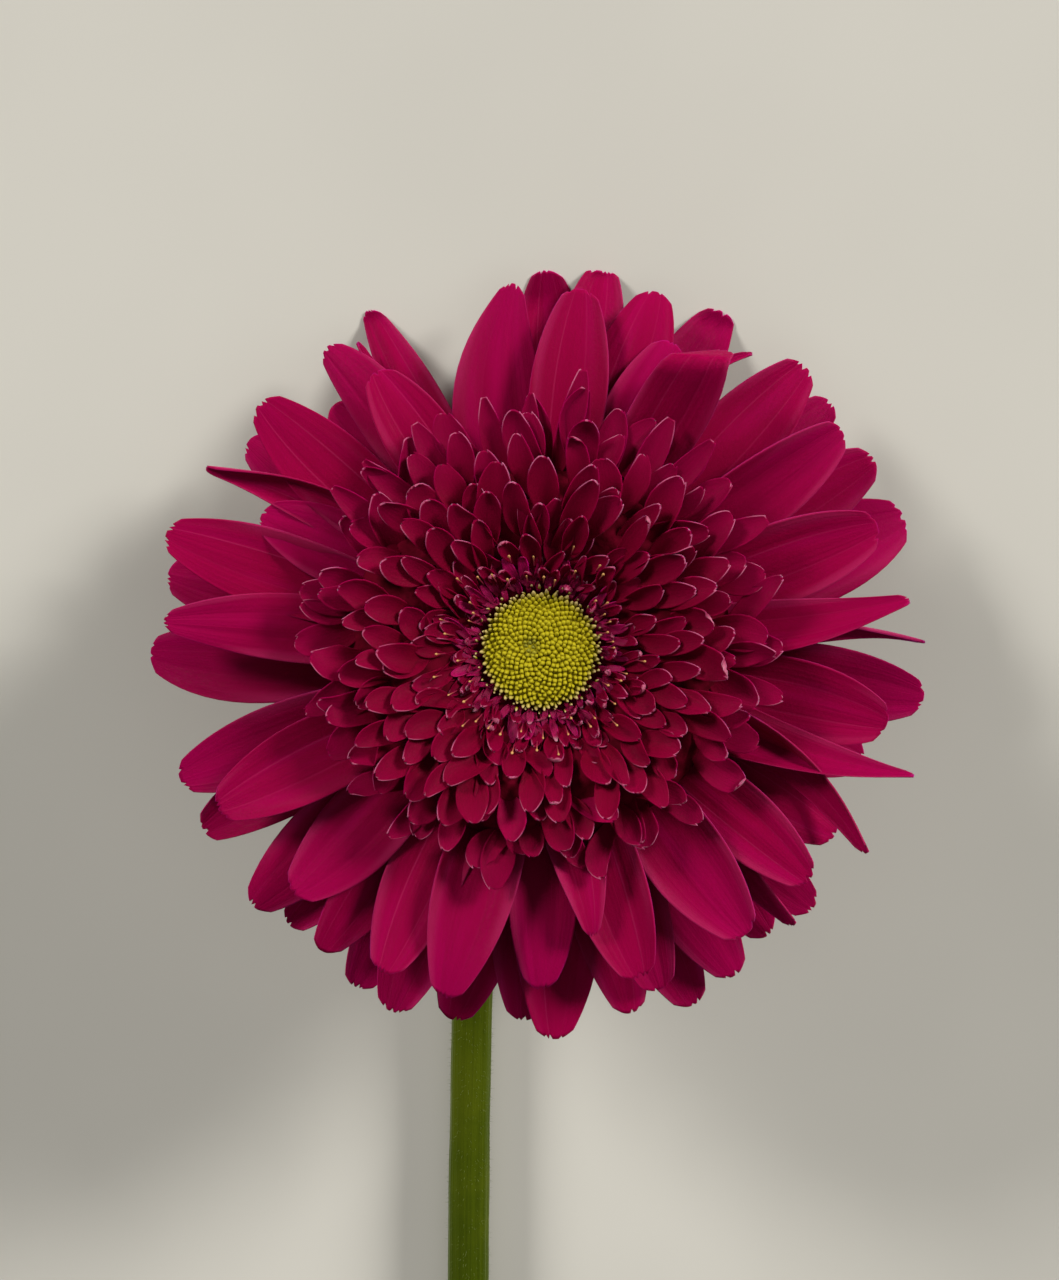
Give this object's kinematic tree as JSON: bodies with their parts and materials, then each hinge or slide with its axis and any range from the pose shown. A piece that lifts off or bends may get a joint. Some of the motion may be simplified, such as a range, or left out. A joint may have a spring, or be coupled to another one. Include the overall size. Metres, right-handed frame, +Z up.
{
  "type": "cut gerbera",
  "caption": "Cut gerbera with a crested crimson double bloom and a bare green stem, lying on a surface.",
  "frame": {"origin": "on the surface that the flower lies on, under the middle of its box", "axes": "+Z up from the surface, +Y along the lying stem from its cut end towards the bloom, +X to the right as seen with the bloom away from the viewer"},
  "size_m": [0.1132, 0.3499, 0.053],
  "materials": {
    "ray_petal": "velvety living petal, crimson with a magenta bloom at the edges",
    "crest_petal": "velvety living petal, dark maroon with a thin pale rim",
    "disc": "matte yellow-green closed florets",
    "bract": "matte hairy green leaf",
    "stem": "satin green stem with fine hairs and ribs"
  },
  "bodies": {
    "root": {"ray_petals": "ray_petal", "crest_petals": "crest_petal", "disc": "disc", "involucre": "bract", "stem": "stem"}
  },
  "joints": []
}
